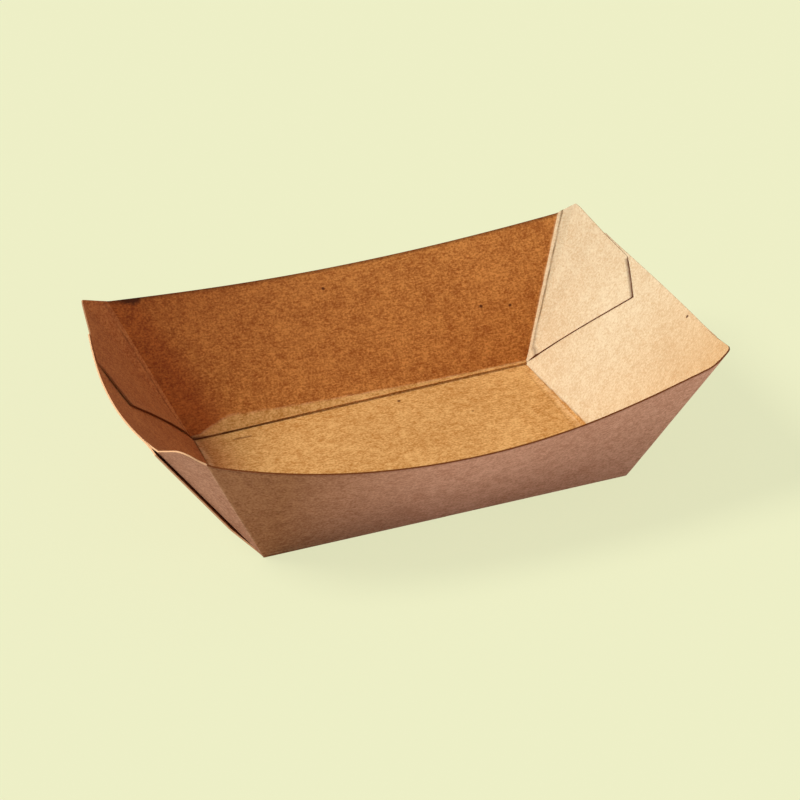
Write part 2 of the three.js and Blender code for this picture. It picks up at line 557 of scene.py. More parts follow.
    def _faces(self, nodes: Nodes, place: Value, tone: Value) -> Value:
        """The board's colour, which differs from wall to wall, partly in its own tone and
        partly by painted light and shade.

        Args:
            nodes: The material's tree.
            place: Object coordinates.
            tone: How light the board is here, 0 to 1.

        Returns:
            The colour without the lightened folds and crests, the painted shade lines and the
            marks.
        """
        x, y, z = nodes.parts(place)
        end_face = nodes.trait("end_face")
        shaded, outside = self.shaded.at(nodes, tone), self.outside.at(nodes, tone)
        # Painted shadow of the left end wall on the floor near the left end.
        floor = nodes.tint(self.floor_edge_x.before(nodes, x) * self.floor_edge,
                           self.inside.at(nodes, tone), shaded)
        # Painted shadow of the left end wall darkens the far wall near its left corner.
        wall = nodes.tint(self._corner_shade(nodes, x, z), self.wall.at(nodes, tone),
                          self.corner.at(nodes, tone))
        # The right end takes painted shade towards its near side.
        pale_end = nodes.tint(self.sunned_y.past(nodes, y), self.bleached.at(nodes, tone),
                              self.sunned.at(nodes, tone))
        # The long walls' darker tint above the base ridge is partly painted shade.
        colour = nodes.tint(nodes.trait("wall_face"), floor, wall)
        colour = nodes.tint(end_face * self.shaded_x.before(nodes, x), colour, shaded)
        # Painted light pales the right end's inner faces.
        colour = nodes.tint(end_face * self.bleached_x.past(nodes, x), colour, pale_end)
        # Painted shade darkens the outer faces towards the left end, less on the facets.
        handled = self.handled_x.before(nodes, x) * (1.0 - end_face * self.facet_spared)
        outer = nodes.tint(handled, outside, self.handled.at(nodes, tone))
        return nodes.tint(nodes.trait("inner"), outer, colour)

    def build(self) -> bpy.types.Material:
        """Builds the material.

        Returns:
            The finished material.
        """
        material, nodes = fresh_material(self.name)
        place = Value(nodes, nodes.node("ShaderNodeTexCoord").outputs["Object"], True)

        speckles = self.cloud, self.mottle, self.grain
        noises = [nodes.noise(Vector=place, Scale=item.scale, Detail=item.detail,
                              Roughness=0.6) for item in speckles]
        _, mottle, grain = noises
        pale = self._fibres(nodes, place, self.pale_fibres)
        brown = self._fibres(nodes, place, self.brown_fibres)
        tone = self.middle_tone + (pale - brown) * self.fibre_weight
        for item, noise in zip(speckles, noises):
            tone = tone + (noise - 0.5) * item.weight
        tone = nodes.clamp(tone)
        colour = self._faces(nodes, place, tone)
        # Lightening of folds and crests: partly rubbed board, partly painted highlight.
        worn = nodes.trait("worn") * self.wear_cut.past(nodes, mottle)
        colour = nodes.tint(worn * self.wear, colour, self.worn)
        # Painted shade along creases, flap edges and rims, broken up by the mottle.
        scored = nodes.clamp(nodes.trait("scored") * (0.6 + mottle * 0.8))
        colour = nodes.tint(scored, colour, self.scored)
        colour = self._marked(nodes, place, colour, mottle)
        rough = self.roughness + (mottle - 0.5) * self.roughness_spread
        layers = grain, pale, brown, mottle
        height = sum(layer * weight for layer, weight in zip(layers, self.relief))
        dull_board(nodes, colour, rough, self.bump, height)
        return material


@dataclass(frozen=True)
class CutEdge:
    """The board's cut edge: pale as the board's own edge, darkened by painted shade where it
    lies in shade.
    """

    name: str = "cut_edge"
    pale: tuple[float, ...] = linear(226, 180, 134)
    # Painted shade of cut edges that lie in shade.
    dark: tuple[float, ...] = linear(108, 56, 20)
    soft: float = 0.18
    roughness: float = 0.95
    bump: tuple[float, float] = (0.5, 0.1 * MM)

    def build(self) -> bpy.types.Material:
        """Builds the material.

        Returns:
            The finished material.
        """
        material, nodes = fresh_material(self.name)
        place = nodes.node("ShaderNodeTexCoord").outputs["Object"]
        layers = nodes.noise(Vector=place, Scale=900.0, Detail=3.0, Roughness=0.7)
        # Painted shade on the cut edge, broken up by noise.
        edge_darkness = nodes.trait("edge_tone") + (layers - 0.5) * self.soft * 2.0
        colour = nodes.tint(nodes.clamp(edge_darkness), self.pale, self.dark)
        dull_board(nodes, colour, self.roughness, self.bump, layers)
        return material


# The folded sheet


@dataclass(frozen=True)
class SheetSizes:
    """Sizes of the folded sheet in metres.

    Down to settle_share they are the solid's, but lift_foot and lift_full are lower, so that
    the gaps open nearer the floor. The rest shape what the solid leaves out.
    """

    thickness: float = 0.45 * MM
    half_length: float = 55 * MM
    half_width: float = 38 * MM
    fold_top_out_x: float = 18.6 * MM
    fold_top_out_y: float = 17 * MM
    fold_top_height: float = 41.4 * MM
    tip_out_x: float = 24.4 * MM
    tip_out_y: float = 14.4 * MM
    tip_height: float = 44.7 * MM
    long_bow: float = 9.3 * MM
    long_dip: float = 8.3 * MM
    end_out: float = 27.1 * MM
    end_height: float = 40.1 * MM
    end_bow: float = 3.2 * MM
    end_dip: float = 3 * MM
    flap_top_across: float = 0.61
    flap_top_up: float = 0.985
    flap_low_across: float = 0.27
    edge_lift: float = 0.9 * MM
    lift_start: float = 0.7
    lift_foot: float = 0.03
    lift_full: float = 0.3
    glue_bite: float = 0.08 * MM
    settle_share: float = 0.12
    fold_radius: float = 0.36 * MM
    floor_band: float = 6 * MM
    base_ridge: float = 0.95 * MM
    base_ridge_drop: float = 1.3 * MM
    corner_ridge_width: float = 1.65 * MM
    corner_ridge_drop: float = 0.3 * MM
    end_ridge: float = 0.42 * MM
    end_ridge_width: float = 2.1 * MM
    end_ridge_drop: float = 0.4 * MM
    waviness: float = 0.12 * MM


@dataclass(frozen=True)
class UsedCorner:
    """How handling has changed one corner, and how much painted light and shade it gets, in
    metres, with x and y counted outwards.

    Attributes:
        fold_shift: Move of the corner fold's top.
        tip_shift: Move of the raised tip.
        foot_shift: Move of the floor's corner in y.
        flap_low_up: How far up the wall the flap's low edge ends, 0 to 1.
        ridge_width: Reach of the base ridge over the floor.
        groove: Painted shade at the base ridge's foot.
        flap_ink: Painted shade along the flap's edges.
        rim_ink: Painted shade on the facet's rim.
        flap_sunk: How much deeper than usual the flap lies.
        flap_lift: How far the flap's loose edges stand off.
        fold_soft: Added rounding of the corner fold at the rim.
        tip_soft: Added rounding of the tip.
        lifted: Share of the end wall's edge lift that is left.
        flap_ridge: Rise of the score beside the corner fold.
        fold_worn: How far the corner fold is lightened, partly rubbed pale and partly by
            painted highlight.
        ridge_up: Added reach of the base ridge up the wall.
        groove_reach: Reach of the painted shade at the base ridge's foot.
    """

    fold_shift: tuple[float, float, float] = (0.0, 0.0, 0.0)
    tip_shift: tuple[float, float, float] = (0.0, 0.0, 0.0)
    foot_shift: float = 0.0
    flap_low_up: float = 0.8
    ridge_width: float = 1.5 * MM
    groove: float = 0.4
    flap_ink: float = 1.0
    rim_ink: float = 0.0
    flap_sunk: float = 0.0
    flap_lift: float = 0.0
    fold_soft: float = 0.4 * MM
    tip_soft: float = 0.4 * MM
    lifted: float = 1.0
    flap_ridge: float = 0.34 * MM
    fold_worn: float = 1.0
    ridge_up: float = 0.0
    groove_reach: float = 0.3 * MM


class Strip(Enum):
    """The two ways the sheet is cut into strips for building."""

    ENDS = "floor_and_end_walls"
    SIDE = "long_wall_and_flaps"


@dataclass(frozen=True)
class StripGrid:
    """How many steps each stretch of a strip has.

    Attributes:
        side_columns: Wall, facet before its tip, facet past it, flap's outer edge and
            flap's lower edge, from the middle outwards.
        side_rows: Band of floor, then wall.
        end_columns: Floor, then end wall, from the middle outwards.
        end_rows: Across the floor and end walls.
    """

    side_columns: tuple[int, ...] = (72, 12, 8, 12, 20)
    side_rows: tuple[int, ...] = (16, 56)
    end_columns: tuple[int, ...] = (44, 52)
    end_rows: tuple[int, ...] = (72,)


class SheetTree:
    """Geometry tree that folds one strip of the sheet, with the sizes as named inputs."""

    # Power that crowds the grid's lines near the folds.
    DENSE = 1.6
    # Reach of a thin line on each side, and half the reach of a sharp change.
    LINE = 0.3 * MM
    SHARP = 0.05 * MM
    # How far up or down a strip its last edge begins to take painted shade, and where that
    # shade is darkest.
    RIM_BAND = (0.991, 0.998)
    FLAP_BAND = (0.99, 0.998)
    OUTLINE_BAND = (0.994, 1.0)
    # How dark each painted shade line is, and how strong the painted highlight on the crest of
    # the base ridge.
    FLAP_EDGE = 0.9
    FLAP_SCORE = 0.55
    RIM_EDGE = 0.7
    END_SCORE = 0.45
    END_RIDGE_FOOT = 0.35
    CREST_WEAR = 0.7
    # Parts of a flap, down its low edge and up its outer edge, that stand off the wall.
    LOOSE_DOWN = (0.6, 1.0)
    LOOSE_UP = (0.92, 1.0)
    LOOSE_FROM = (0.0, 0.3)
    # How much further than the solid's the end walls' near side edges lift.
    NEAR_LIFT = 1.3
    # How far the floor's colour climbs the end wall at its near side.
    FLOOR_CLIMB = 3.0 * MM
    # Heights between which the sheet begins to wave.
    WAVES_FROM = (1.0 * MM, 9.0 * MM)
    # Shares of the wall, from its left end, over which the base ridge begins,
    # begins to climb the wall, and passes from the left corner's finish to the right's.
    RIDGE_FROM = (0.0, 0.05)
    CLIMB_FROM = (0.03, 0.13)
    GROOVE_TURN = (0.025, 0.35)
    # Shares of the wall's height over which other scores and finishes begin.
    FOOT = (0.0, 0.02)
    CORNER_RIDGE_FROM = (0.01, 0.06)
    WEAR_FROM = (0.02, 0.2)
    # Reach of the rubbed and highlighted corner fold, and of the step from wall to flap beside
    # it.
    FOLD_WEAR = 0.8 * MM
    FLAP_STEP = 0.2 * MM
    # How hard the painted shade in the base groove is driven.
    GROOVE_GAIN = 2.2

    def __init__(self, sizes: SheetSizes, strip: Strip, grid: StripGrid,
                 corners: dict[str, UsedCorner], turn: float = 0.0) -> None:
        """Starts the tree.

        Args:
            sizes: The sheet's sizes.
            strip: Which strip this tree folds.
            grid: How finely it is divided.
            corners: The used corners by name.
            turn: Angle by which the finished strip is turned about the upright axis.
        """
        self.strip = strip
        ends = strip is Strip.ENDS
        self.columns = grid.end_columns if ends else grid.side_columns
        self.rows = grid.end_rows if ends else grid.side_rows
        self.tree = bpy.data.node_groups.new(f"fold_{strip.value}", "GeometryNodeTree")
        self.nodes = Nodes(self.tree)
        self.named: dict[str, Value] = {}
        self.values: dict[str, Any] = {**vars(sizes), "turn": turn}
        for place, corner in corners.items():
            for item in fields(corner):
                self.values[f"{place}_{item.name}"] = getattr(corner, item.name)
        self._add_inputs()

    def _add_inputs(self) -> None:
        """Gives the tree one named input for each size, and its output."""
        face = self.tree.interface
        for name, value in self.values.items():
            kind = "NodeSocketVector" if isinstance(value, tuple) else "NodeSocketFloat"
            face.new_socket(name.replace("_", " "), in_out="INPUT", socket_type=kind)
        face.new_socket("board", in_out="INPUT", socket_type="NodeSocketMaterial")
        face.new_socket("edge", in_out="INPUT", socket_type="NodeSocketMaterial")
        face.new_socket("Geometry", in_out="OUTPUT", socket_type="NodeSocketGeometry")
        group = self.nodes.node("NodeGroupInput")
        for socket in group.outputs[:-1]:
            wide = socket.type == "VECTOR"
            self.named[socket.name.replace(" ", "_")] = Value(self.nodes, socket, wide)

    def _positive(self, value: Value) -> Value:
        """1 where a value is above 0, and 0 elsewhere."""
        return self.nodes.clamp(value * 1e6)

    def _past(self, place: Any, value: Value) -> Value:
        """0 before a place and 1 past it, with a sharp change between."""
        return self.nodes.share(place - self.SHARP, place + self.SHARP, value)

    def _corners(self, share: Value, name: str) -> Value:
        """A value that goes from the left corner's at 0 to the right corner's at 1."""
        ends = self.named[f"left_{name}"], self.named[f"right_{name}"]
        mix = self.nodes.blend if ends[0].vector else self.nodes.between
        return mix(share, *ends)

    def _stretches(self, share: Value, counts: tuple[int, ...]) -> list[Value]:
        """Splits a place on the grid among the stretches that it runs through.

        Args:
            share: Place over all the steps, 0 to 1.
            counts: Steps of each stretch.

        Returns:
            How far each stretch is covered, 0 to 1.
        """
        steps = share * float(sum(counts))
        return [self.nodes.clamp((steps - float(sum(counts[:i]))) / float(count))
                for i, count in enumerate(counts)]

    def _end_wall(self, across: Value, up: Value, foot: Value) -> Value:
        """Outer face that the end wall would have if it lay on its flaps all over.

        Args:
            across: Place across the wall, -1 to 1.
            up: Place up the wall, 0 to 1.
            foot: Shift of the foot's corner on this side.

        Returns:
            The point, in metres.
        """
        n, s = self.nodes, self.named
        bulge = 1.0 - across * across
        return n.vector(
            s["half_length"] + up * (s["end_out"] + s["end_bow"] * bulge),
            across * (s["half_width"] + foot * (1.0 - up)),
            up * (s["end_height"] - s["end_dip"] * bulge))

    def _end_inward(self, across: Value, up: Value) -> Value:
        """Unit normal of the end wall, pointing into the tray.

        Args:
            across: Place across the wall, -1 to 1.
            up: Place up the wall, 0 to 1.

        Returns:
            The unit vector.
        """
        n, s = self.nodes, self.named
        bulge = 1.0 - across * across
        side = n.vector(across * up * s["end_bow"] * -2.0, s["half_width"],
                        across * up * s["end_dip"] * 2.0)
        rise = n.vector(s["end_out"] + s["end_bow"] * bulge, 0.0,
                        s["end_height"] - s["end_dip"] * bulge)
        return n.vector_math("NORMALIZE", n.vector_math("CROSS_PRODUCT", rise, side))

    def _glued(self, across: Value, up: Value, foot: Value, proud: Any = 0.0) -> Value:
        """Outer face of a flap where it lies on the end wall.

        Args:
            across: Place across the wall, -1 to 1.
            up: Place up the wall, 0 to 1.
            foot: Shift of the foot's corner on this side.
            proud: How much further than usual the flap stands off the wall.

        Returns:
            The point, in metres.
        """
        n, s = self.nodes, self.named
        depth = ((s["thickness"] - s["glue_bite"] + proud)
                 * n.share(0.0, s["settle_share"], up))
        return self._end_wall(across, up, foot) + self._end_inward(across, up) * depth

    def _ridge(self, distance: Value, height: Value, width: Value, drop: Value) -> Value:
        """Rise of a score's ridge, whose crest stands on the fold.

        Args:
            distance: Distance from the fold, positive towards the ridge's long slope.
            height: Rise of the crest.
            width: Reach of the long slope.
            drop: Reach of the short slope.

        Returns:
            The rise.
        """
        n = self.nodes
        long_slope = 1.0 - n.share(0.0, width, distance)
        short_slope = 1.0 - n.share(0.0, drop, -distance)
        return height * long_slope * short_slope

    def _round_fold(self, signed: Value, softer: Any = 0.0) -> tuple[Value, Value]:
        """Rounds a fold met at signed distance 0.

        Args:
            signed: Distance past the fold, negative before it.
            softer: What the fold's radius has gained through handling.

        Returns:
            How far the point still lies before the fold, and how far past it.
        """
        n = self.nodes
        radius = self.named["fold_radius"] + softer
        turn = n.clamp((signed + radius) / (radius * 2.0))
        before = radius * (1.0 - turn) * (1.0 - turn) + n.most(-(signed + radius), 0.0)
        past = radius * turn * turn + n.most(signed - radius, 0.0)
        return before, past

    def _side_strip(self, x: Value, y: Value) -> tuple[Value, dict[str, Value]]:
        """Long wall with its two flaps.

        Args:
            x: Place across all columns, -1 to 1.
            y: Place across all rows, 0 to 1.

        Returns:
            The surface point, and the numbers that the mesh carries.
        """
        n, s = self.nodes, self.named
        hand = n.math("SIGN", x)
        right = hand * 0.5 + 0.5
        banded, raised = self._stretches(y, self.rows)
        slope = n.vector_math("LENGTH", n.vector(0.0, s["fold_top_out_y"],
                                                 s["fold_top_height"]))
        signed = (slope * raised ** self.DENSE
                  - s["floor_band"] * (1.0 - banded) ** self.DENSE)
        before, past = self._round_fold(signed)
        up = past / slope
        along, to_tip, to_edge, over_top, down = self._stretches(abs(x), self.columns)
        along = 1.0 - (1.0 - along) ** self.DENSE
        to_tip = to_tip ** self.DENSE
        down = 1.0 - (1.0 - down) ** self.DENSE

        # The corner fold's top and the raised tip, seen from the foot of the fold.
        foot = self._corners(right, "foot_shift")
        fold_top = (n.vector(s["fold_top_out_x"], s["fold_top_out_y"] - foot,
                             s["fold_top_height"])
                    + self._corners(right, "fold_shift"))
        tip = (n.vector(s["tip_out_x"], s["tip_out_y"] - foot, s["tip_height"])
               + self._corners(right, "tip_shift"))
        pole = n.vector(s["half_length"], s["half_width"] + foot, 0.0)
        tip_run = n.vector_math("LENGTH", tip - fold_top)
        length_here = s["half_length"] + s["fold_top_out_x"] * up
        from_fold = (to_tip * tip_run + to_edge * tip_run) * up - (1.0 - along) * length_here

        # The wall runs up to the corner fold, and the facet takes up what is past it.
        soft = self._corners(right, "fold_soft")
        fold_before, fold_past = self._round_fold(from_fold, soft * up * up)
        wall = self._long_wall(1.0 - fold_before / length_here, hand, up, before)
        left_over = n.most(tip_run * up - fold_past, 0.0)

        # The facet turns at the tip, and there comes down to the end wall.
        sunk = self._corners(right, "flap_sunk")
        loose = self._corners(right, "flap_lift")
        settled = self._glued(n.clamp(hand * hand), up, foot, -sunk) - pole
        settle_run = n.vector_math("LENGTH", settled - tip * up)
        tip_soft = self._corners(right, "tip_soft")
        short, beyond = self._round_fold(to_edge * settle_run - left_over, tip_soft * up * up)
        facet = (tip * up - (tip - fold_top) * (short / tip_run)
                 + (settled - tip * up) * (beyond / n.most(settle_run, 1e-6)))

        # The flap follows its outer edge, then its lower edge, along the end wall.
        top_across = 1.0 - over_top * (1.0 - s["flap_top_across"])
        top_up = 1.0 - over_top * (1.0 - s["flap_top_up"])
        low_up = self._corners(right, "flap_low_up")
        far_across = top_across - down * (s["flap_top_across"] - s["flap_low_across"])
        far_up = top_up - down * (s["flap_top_up"] - low_up)
        free = n.most(n.share(*self.LOOSE_DOWN, down),
                      n.share(*self.LOOSE_UP, up) * n.share(*self.LOOSE_FROM, down))
        on_wall = self._glued(1.0 - (1.0 - far_across) * up, far_up * up, foot,
                              loose * free - sunk) - pole
        past_edge = self._positive(over_top)
        facet = n.blend(past_edge, facet, on_wall)
        px, py, pz = n.parts(wall + facet - fold_top * up)
        traits = self._side_traits(signed, from_fold, along * hand, down, up, past_edge)
        return n.vector(px * hand, py, pz), traits

    def _long_wall(self, along: Value, hand: Value, rise: Value, inward: Value) -> Value:
        """Outer face of the long wall, with a band of the floor before its fold.

        Args:
            along: Place along the wall, 0 in the middle and 1 at the corner.
            hand: 1 on the right and -1 on the left.
            rise: Place up the wall, 0 to 1.
            inward: Distance from the fold towards the middle of the floor.

        Returns:
            The point, in metres, with x counted outwards.
        """
        n, s = self.nodes, self.named
        bulge = 1.0 - along * along
        across = along * hand * 0.5 + 0.5
        foot = self._corners(across, "foot_shift")
        stay = 1.0 - inward / s["floor_band"]
        base = n.vector(s["half_length"] * along, s["half_width"] - inward + foot * stay, 0.0)
        used = self._corners(hand * 0.5 + 0.5, "fold_shift")
        reach = n.vector(
            s["fold_top_out_x"] * along,
            s["fold_top_out_y"] + s["long_bow"] * bulge - foot,
            s["fold_top_height"] - s["long_dip"] * bulge)
        return base + (reach + used * along ** 5.0) * rise

    def _side_traits(self, signed: Value, from_fold: Value, place: Value, down: Value,
                     up: Value, past_edge: Value) -> dict[str, Value]:
        """Numbers that the long strip's mesh carries.

        Args:
            signed: Distance past the base fold.
            from_fold: Distance past the corner fold.
            place: Place along the wall, -1 to 1.
            down: Share of the flap's lower outline.
            up: Place up the wall, 0 to 1.
            past_edge: 1 on the glued part of a flap.

        Returns:
            The numbers by name.
        """
        n, s = self.nodes, self.named
        on_wall = self._positive(-from_fold)
        share = place * 0.5 + 0.5
        width = self._corners(share, "ridge_width") * n.share(*self.RIDGE_FROM, share)
        along = n.share(*self.GROOVE_TURN, share)
        groove = self._corners(along, "groove")
        reach = self._corners(along, "groove_reach")
        end_share = n.share(*self.CLIMB_FROM, share)
        risen = n.between(share, s["left_ridge_up"] * end_share * (1.0 - share),
                          s["right_ridge_up"])
        drop = s["base_ridge_drop"] + risen
        base = self._ridge(-signed, s["base_ridge"], width, drop) * on_wall
        flap_ridge = self._corners(share, "flap_ridge")
        corner = (flap_ridge * n.share(0.0, s["corner_ridge_width"], from_fold)
                  * (1.0 - n.share(0.0, s["corner_ridge_drop"],
                                   from_fold - s["corner_ridge_width"]))
                  * n.share(*self.CORNER_RIDGE_FROM, up))
        # Painted shade in the groove at the foot of the base ridge.
        base_line = n.clamp(n.near(-width, reach, signed) * self.GROOVE_GAIN) * on_wall * groove
        flap_side = n.share(0.0, self.FLAP_STEP, from_fold)
        # Painted shade in the groove beside the score at the corner fold.
        flap_line = n.near(s["corner_ridge_width"], self.LINE, from_fold) * flap_side
        right = self._positive(place)
        # Painted shade along the flap's loose edges, where they stand off the end wall.
        edge_shade = self._corners(right, "flap_ink")
        rim_ink = self._corners(right, "rim_ink")
        outline = n.share(*self.OUTLINE_BAND, up) * self._positive(down)
        flap_edge = (n.share(*self.FLAP_BAND, down) + outline) * self.FLAP_EDGE * edge_shade
        # Painted shade along the inner face just under the long walls' rims.
        rim = n.share(*self.RIM_BAND, up) * (1.0 - flap_side) * self.RIM_EDGE
        scored = n.clamp(base_line + flap_line * self.FLAP_SCORE + flap_edge + rim)
        # Lightening of the corner fold: partly rubbed board, partly painted highlight.
        fold_worn = self._corners(right, "fold_worn")
        worn = (n.near(0.0, self.FOLD_WEAR, from_fold) * n.share(*self.WEAR_FROM, up)
                * fold_worn)
        # Painted highlight on the crest of the base ridge.
        crest = n.near(drop, self.LINE, signed) * on_wall * self.CREST_WEAR
        return {
            "rise": n.most(base, corner),
            "scored": scored,
            "worn": n.clamp(worn + crest),
            "end_face": self._past(0.0, from_fold) * n.share(*self.FOOT, up),
            "wall_face": n.share(drop * 0.9, drop, signed)
            * (1.0 - self._past(0.0, from_fold)),
            # Painted shade on the cut edges of the long walls, of shaded flaps and of shaded
            # facet rims.
            "edge_tone": n.clamp((1.0 - flap_side) + past_edge * edge_shade
                                 + (1.0 - past_edge) * rim_ink)}

    def _end_strip(self, x: Value, y: Value) -> tuple[Value, dict[str, Value]]:
        """End wall, floor and the other end wall.

        Args:
            x: Place along the strip, -1 to 1.
            y: Place across the strip, 0 to 1.

        Returns:
            The surface point, and the numbers that the mesh carries.
        """
        n, s = self.nodes, self.named
        hand = n.math("SIGN", x)
        floored, raised = self._stretches(abs(x), self.columns)
        slope = n.vector_math("LENGTH", n.vector(s["end_out"], 0.0, s["end_height"]))
        signed = (slope * raised ** self.DENSE
                  - s["half_length"] * (1.0 - floored) ** self.DENSE)
        before, past = self._round_fold(signed)
        up = past / slope
        across = y * 2.0 - 1.0
        far = self._positive(across)
        foot = self._corners(hand * 0.5 + 0.5, "foot_shift") * far
        wx, wy, wz = n.parts(self._end_wall(across, up, foot) - n.vector(before, 0.0, 0.0))
        floor_y = across * (s["half_width"] - s["floor_band"])
        risen = n.share(-self.LINE, self.LINE, signed)
        near_edge = n.share(s["lift_start"], 1.0, abs(across))
        lifted = self._corners(hand * 0.5 + 0.5, "lifted")
        lift = (s["edge_lift"] * near_edge * near_edge * n.between(far, self.NEAR_LIFT, lifted)
                * n.share(s["lift_foot"], s["lift_full"], up))
        point = (n.vector(wx, n.between(risen, floor_y, wy), wz)
                 - self._end_inward(across, up) * lift)
        px, py, pz = n.parts(point)
        rise = self._ridge(-signed, s["end_ridge"], s["end_ridge_width"], s["end_ridge_drop"])
        start = (0.5 - across * 0.5) * self.FLOOR_CLIMB
        # Painted shade along the end creases' two thin lines.
        line = (n.near(start, self.LINE, signed) * self.END_SCORE
                + n.near(-s["end_ridge_width"], self.LINE, signed) * self.END_RIDGE_FOOT)
        zero = signed * 0.0
        # The end ridge's lightening is painted highlight.
        return n.vector(px * hand, py, pz), {
            "rise": rise, "scored": line,
            "worn": n.share(0.0, self.LINE, rise) * self.CREST_WEAR,
            "end_face": self._past(start, signed),
            "wall_face": zero, "edge_tone": zero}

    def build(self) -> Any:
        """Links the whole tree.

        Returns:
            The finished node group.
        """
        n, s = self.nodes, self.named
        grid = n.node("GeometryNodeMeshGrid", None, Size_X=2.0, Size_Y=1.0,
                      Vertices_X=2 * sum(self.columns) + 1, Vertices_Y=sum(self.rows) + 1)
        x, y, _ = n.parts(n.position())
        maker = self._side_strip if self.strip is Strip.SIDE else self._end_strip
        point, traits = maker(x, y + 0.5)
        geometry = grid.outputs["Mesh"]
        for name, value in traits.items():
            geometry = self._stored(geometry, name, value)
        placed = n.node("GeometryNodeSetPosition", None, Geometry=geometry, Position=point)
        merged = n.node("GeometryNodeMergeByDistance", None, Geometry=placed.outputs[0],
                        Distance=0.003 * MM)
        closed = self._thicken(self._waves(merged.outputs[0]))
        turned = n.node("GeometryNodeTransform", None, Geometry=closed,
                        Rotation=n.vector(0.0, 0.0, s["turn"]))
        real = n.node("GeometryNodeRealizeInstances", None, Geometry=turned.outputs[0])
        faced = n.node("GeometryNodeSetMaterial", None, Geometry=real.outputs[0],
                       Material=s["board"].socket)
        edged = n.node("GeometryNodeSetMaterial", None, Geometry=faced.outputs[0],
                       Selection=n.carried("cut", "BOOLEAN"), Material=s["edge"].socket)
        n.node("NodeGroupOutput", None, at_0=edged.outputs[0])
        return self.tree

    def _stored(self, geometry: Any, name: str, value: Any, domain: str = "POINT",
                kind: str = "FLOAT") -> Any:
        """Stores one number on the mesh.

        Args:
            geometry: The mesh.
            name: The number's name.
            value: The number.
            domain: Where it is stored.
            kind: Its data type.

        Returns:
            The mesh that carries it.
        """
        return self.nodes.node(
            "GeometryNodeStoreNamedAttribute", {"data_type": kind, "domain": domain},
            Geometry=geometry, Name=name, Value=value).outputs[0]

    def _waves(self, geometry: Any) -> Any:
        """Lets the sheet wander slightly off its true surface.

        Args:
            geometry: The sheet's surface.

        Returns:
            The surface, gently waved.
        """
        n, s = self.nodes, self.named
        height = (n.noise(Scale=38.0, Detail=1.5) - 0.5) * s["waviness"] * 2.0
        _, _, z = n.parts(n.position())
        raised = n.share(*self.WAVES_FROM, z)
        return n.node("GeometryNodeSetPosition", None, Geometry=geometry,
                      Offset=n.normal() * (height * raised)).outputs[0]

    def _thicken(self, geometry: Any) -> Any:
        """Closes the surface into a sheet, with the ridges on its inner face.

        Args:
            geometry: The outer surface, facing into the tray.

        Returns:
            The closed sheet.
        """
        n, s = self.nodes, self.named
        geometry = self._stored(geometry, "facing", n.normal(), kind="FLOAT_VECTOR")
        grown = n.node("GeometryNodeExtrudeMesh", {"mode": "FACES"}, Mesh=geometry,
                       Offset_Scale=s["thickness"], Individual=False)
        sides = self._stored(grown.outputs[0], "cut", grown.outputs["Side"], "FACE",
                             "BOOLEAN")
        inner = self._stored(sides, "inner", grown.outputs["Top"], "FACE")
        ridges = n.carried("facing", "FLOAT_VECTOR") * n.carried("rise")
        raised = n.node("GeometryNodeSetPosition", None, Geometry=inner,
                        Selection=grown.outputs["Top"], Offset=ridges)
        turned = n.node("GeometryNodeFlipFaces", None, Mesh=geometry)
        under = self._stored(turned.outputs[0], "scored", 0.0)
        joined = n.node("GeometryNodeJoinGeometry")
        for part in (under, raised.outputs[0]):
            self.tree.links.new(part, joined.inputs[0])
        closed = n.node("GeometryNodeMergeByDistance", None, Geometry=joined.outputs[0],
                        Distance=0.001 * MM).outputs[0]
        standing = n.vector_math("MAXIMUM", n.position(), (-1.0, -1.0, 0.0))
        placed = n.node("GeometryNodeSetPosition", None, Geometry=closed, Position=standing)
        return n.node("GeometryNodeRemoveAttribute", None, Geometry=placed.outputs[0],
                      Name="facing").outputs[0]


def plain_mesh(maker: SheetTree, board: Any, edge: Any, name: str) -> bpy.types.Object:
    """Runs a geometry tree and keeps its result as a plain mesh object.

    Args:
        maker: The strip's tree and the value of each of its inputs.
        board: Material of the faces.
        edge: Material of the cut edges.
        name: The new object's name.

    Returns:
        A linked object without modifiers.
    """
    tree = maker.build()
    holder = add_object(f"{name}_holder", bpy.data.meshes.new(f"{name}_holder"))
    modifier = holder.modifiers.new("fold", "NODES")
    modifier.node_group = tree
    sockets = {item.name: item.identifier for item in tree.interface.items_tree
               if item.in_out == "INPUT"}
    for key, value in {**maker.values, "board": board, "edge": edge}.items():
        modifier[sockets[key.replace("_", " ")]] = value
    holder.update_tag()
    graph = bpy.context.evaluated_depsgraph_get()
    mesh = bpy.data.meshes.new_from_object(holder.evaluated_get(graph), depsgraph=graph)
    holder.modifiers.remove(modifier)
    bpy.data.objects.remove(holder)
    mesh.name = name
    return add_object(name, mesh)


